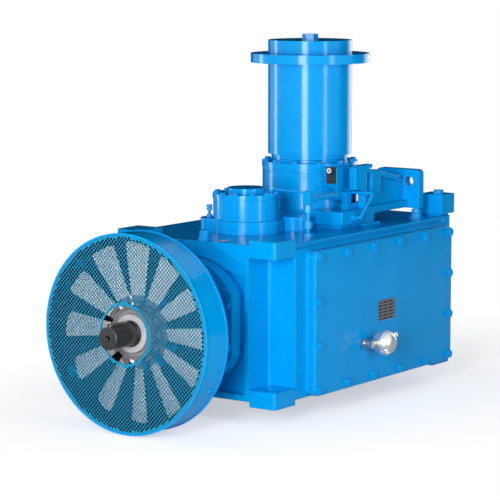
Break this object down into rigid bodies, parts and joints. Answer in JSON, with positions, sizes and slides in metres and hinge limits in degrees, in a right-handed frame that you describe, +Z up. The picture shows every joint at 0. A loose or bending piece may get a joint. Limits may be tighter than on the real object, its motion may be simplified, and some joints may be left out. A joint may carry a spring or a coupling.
{
  "type": "bevel-helical gear reducer",
  "caption": "Foot-mounted right-angle bevel-helical gear reducer with a vertical flanged output hub and a shaft-driven cooling fan in a screened cowl.",
  "frame": {"origin": "centre of the four foot holes on the mounting plane of the feet", "axes": "+Z up along the output shaft, -X along the input shaft, -Y towards the side cover with the name plate"},
  "size_m": [1.502, 0.7856, 1.1747],
  "materials": {
    "paint": "glossy bright blue enamel",
    "shaft_steel": "dark ground steel with an oil film",
    "bright_steel": "bright machined steel",
    "cast_aluminium": "pale cast aluminium",
    "seal_rubber": "matt black nitrile rubber",
    "dark_plate": "dark satin plate"
  },
  "bodies": {
    "base": {"adjusting_stud": "paint", "breather": "paint", "carrier_bolts": "paint", "corner_block": "paint", "corner_block_bolt": "paint", "cover_bolts": "paint", "cover_gaskets": "seal_rubber", "cowl_brackets": "paint", "cowl_screen": "paint", "cowl_screws": "bright_steel", "fan_cowl": "paint", "housing": "paint", "input_carrier": "paint", "input_outer_rings": "bright_steel", "input_seal": "seal_rubber", "input_seal_cover": "paint", "intermediate_bearing_cap": "paint", "intermediate_bearing_housing": "paint", "intermediate_outer_rings": "bright_steel", "name_plate": "dark_plate", "name_plate_rivets": "bright_steel", "oil_manifold": "paint", "oil_pipes": "paint", "oil_plugs": "paint", "oil_pump_block": "paint", "oil_sensor": "dark_plate", "oil_valve_block": "paint", "output_bearing_housing": "paint", "output_outer_rings": "bright_steel", "output_seal": "seal_rubber", "output_seal_cover": "paint", "pipe_unions": "paint", "rear_cover": "paint", "roof_bracket": "paint", "seal_cover_screws": "paint", "side_cover": "paint", "stack_bolts": "paint", "stack_vent": "paint", "thermometer_fitting": "bright_steel", "thermometer_head": "cast_aluminium", "tower_bolts": "paint"},
    "input": {"input_shaft": "shaft_steel", "shaft_key": "shaft_steel", "input_bearing_rollers": "bright_steel", "input_spacer": "shaft_steel", "fan": "cast_aluminium", "fan_clamp_ring": "bright_steel"},
    "intermediate": {"intermediate_shaft": "shaft_steel", "bevel_gear": "shaft_steel", "shaft_nut": "shaft_steel", "intermediate_bearing_rollers": "bright_steel"},
    "output": {"output_shaft": "shaft_steel", "output_wheel": "shaft_steel", "output_bearing_rollers": "bright_steel", "output_spacer": "shaft_steel", "output_hub": "paint", "hub_plug": "paint", "labyrinth_ring": "paint", "hub_end_plate": "paint", "hub_end_bolt": "paint"}
  },
  "joints": [
    {"name": "output_spin", "type": "hinge", "parent": "base", "child": "output", "pos_m": [0.121, 0, 0.8], "axis": [0, 0, 1], "continuous": true},
    {"name": "intermediate_spin", "type": "hinge", "parent": "base", "child": "intermediate", "pos_m": [-0.241, 0, 0.352], "axis": [0, 0, 1], "continuous": true},
    {"name": "input_spin", "type": "hinge", "parent": "base", "child": "input", "pos_m": [-0.6, 0, 0.254], "axis": [1, 0, 0], "continuous": true}
  ],
  "couplings": [
    {"joint": "intermediate_spin", "follows": "output_spin", "ratio": -3.4375},
    {"joint": "input_spin", "follows": "output_spin", "ratio": 8.9904}
  ]
}
